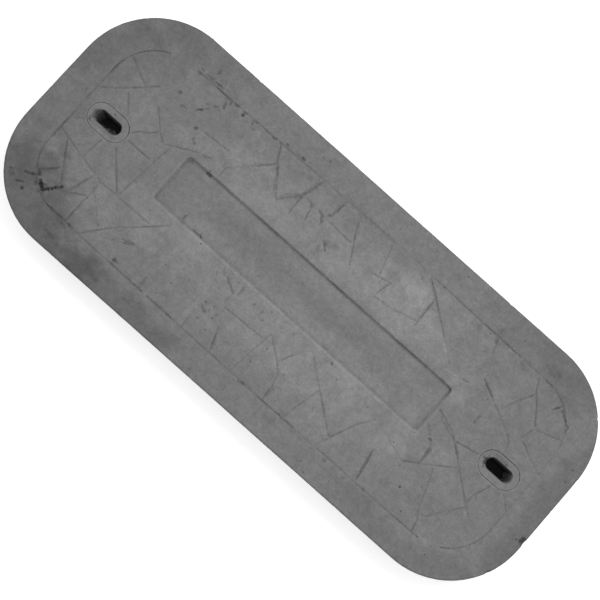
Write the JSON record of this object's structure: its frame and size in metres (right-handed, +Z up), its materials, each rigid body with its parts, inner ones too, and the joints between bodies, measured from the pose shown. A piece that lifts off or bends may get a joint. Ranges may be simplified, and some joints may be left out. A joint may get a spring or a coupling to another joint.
{
  "type": "cable pit cover",
  "caption": "Rectangular concrete cover with rounded corners and a paving-pattern top, for an underground cable pit, lifted by keys in two slotted sockets.",
  "frame": {"origin": "centre of the underside, where the cover rests", "axes": "+X along the length, towards the right-hand socket as the name panel is read; +Y across the width, towards the panel's upper edge; +Z up, out of the patterned face"},
  "size_m": [0.6664, 0.2746, 0.045],
  "materials": {
    "concrete": "weathered cast concrete, grey, matt, with air-hole pits and dirt in the joints",
    "socket_moulding": "dusty matt grey moulding"
  },
  "bodies": {
    "root": {"cover_slab": "concrete", "lifting_socket_left": "socket_moulding", "lifting_socket_right": "socket_moulding"}
  },
  "joints": []
}
